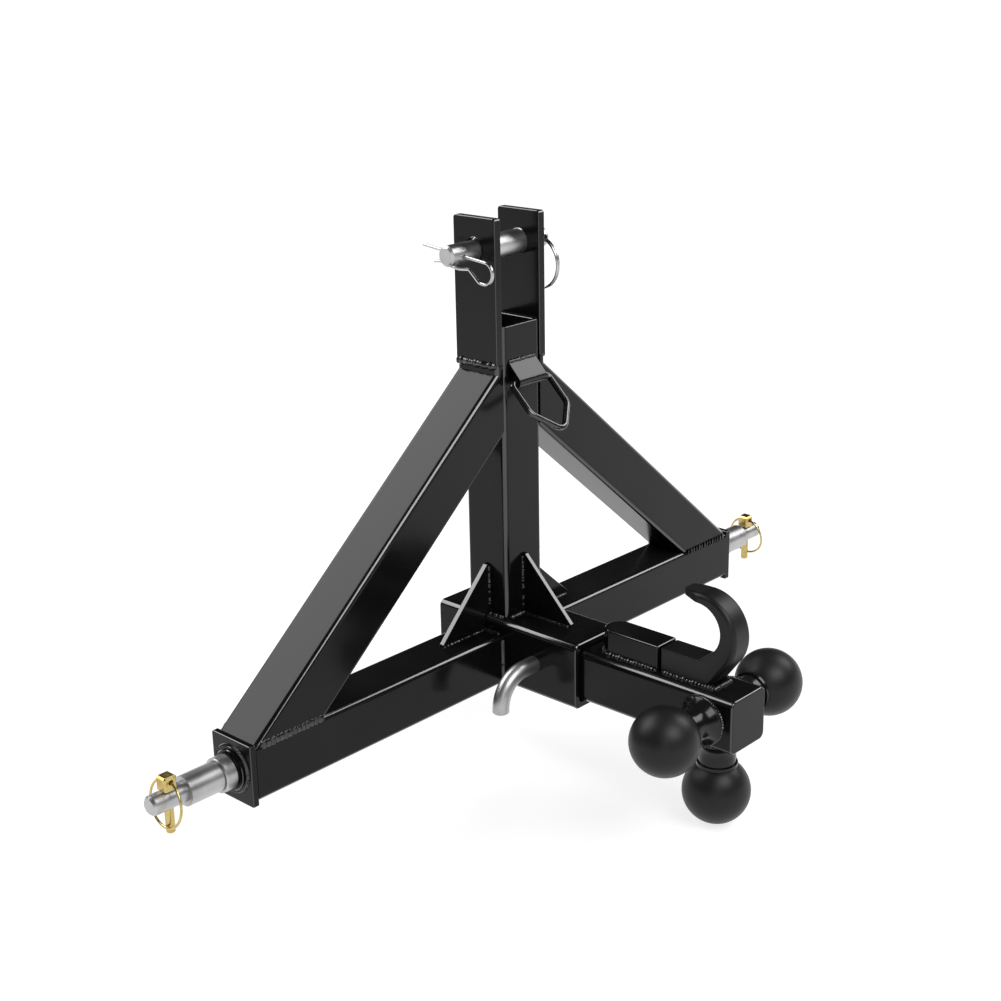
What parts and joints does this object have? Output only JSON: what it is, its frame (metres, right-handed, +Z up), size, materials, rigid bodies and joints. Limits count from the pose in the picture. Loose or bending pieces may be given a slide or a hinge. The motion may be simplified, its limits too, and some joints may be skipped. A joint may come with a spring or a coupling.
{
  "type": "three point receiver hitch",
  "caption": "Welded A-frame hitch for a tractor's lift links, with a square receiver, a pinned tow ball mount with a hook, a D-ring, and link pins with clips.",
  "frame": {"origin": "middle of the line through both lower link pins", "axes": "+X along the arms to the right link pin, -Y to the tow hook and balls, +Z up the mast"},
  "size_m": [0.854, 0.3437, 0.5245],
  "materials": {
    "black_coat": "gloss black powder coat",
    "satin_black": "satin black coat",
    "plated_steel": "bright zinc plate",
    "gold_zinc": "yellow zinc plate"
  },
  "bodies": {
    "hitch_frame": {"mast_tube": "black_coat", "left_ear": "black_coat", "right_ear": "black_coat", "left_arm": "black_coat", "right_arm": "black_coat", "receiver_tube": "black_coat", "left_brace": "black_coat", "right_brace": "black_coat", "left_end_plate": "black_coat", "right_end_plate": "black_coat", "left_gusset": "black_coat", "right_gusset": "black_coat", "front_gusset": "black_coat", "left_pin_boss": "black_coat", "right_pin_boss": "black_coat", "left_lower_pin": "plated_steel", "right_lower_pin": "plated_steel", "ring_bracket": "black_coat", "left_linch_pin": "gold_zinc", "right_linch_pin": "gold_zinc", "shank_tube": "black_coat", "shank_end_cap": "black_coat", "stop_block": "black_coat", "tow_hook": "satin_black", "ball_left": "satin_black", "ball_right": "satin_black", "ball_bottom": "satin_black"},
    "left_snap_ring": {"left_linch_ring": "gold_zinc"},
    "right_snap_ring": {"right_linch_ring": "gold_zinc"},
    "d_ring_body": {"d_ring": "black_coat"},
    "top_pin_body": {"top_link_pin": "plated_steel", "top_pin_sleeve": "plated_steel", "top_pin_clip": "plated_steel"},
    "pull_ring_body": {"pull_ring": "plated_steel"},
    "hitch_pin_body": {"hitch_pin": "plated_steel", "hitch_pin_clip": "plated_steel"}
  },
  "joints": [
    {"name": "left_snap_ring_swing", "type": "hinge", "parent": "hitch_frame", "child": "left_snap_ring", "pos_m": [-0.408, 0, 0.0164], "axis": [0, 1, 0], "range_deg": [0, 175]},
    {"name": "right_snap_ring_swing", "type": "hinge", "parent": "hitch_frame", "child": "right_snap_ring", "pos_m": [0.408, 0, 0.0164], "axis": [0, -1, 0], "range_deg": [0, 175]},
    {"name": "d_ring_swing", "type": "hinge", "parent": "hitch_frame", "child": "d_ring_body", "pos_m": [0, -0.034, 0.2737], "axis": [1, 0, 0], "range_deg": [-134, 50.5]},
    {"name": "top_pin_turn", "type": "hinge", "parent": "hitch_frame", "child": "top_pin_body", "pos_m": [0, 0, 0.39275], "axis": [1, 0, 0], "continuous": true},
    {"name": "pull_ring_swing", "type": "hinge", "parent": "top_pin_body", "child": "pull_ring_body", "pos_m": [0.052, 0, 0.39275], "axis": [0, 1, 0], "range_deg": [-200, 16.5]},
    {"name": "hitch_pin_turn", "type": "hinge", "parent": "hitch_frame", "child": "hitch_pin_body", "pos_m": [0, -0.0651, 0.0076], "axis": [1, 0, 0], "continuous": true}
  ]
}
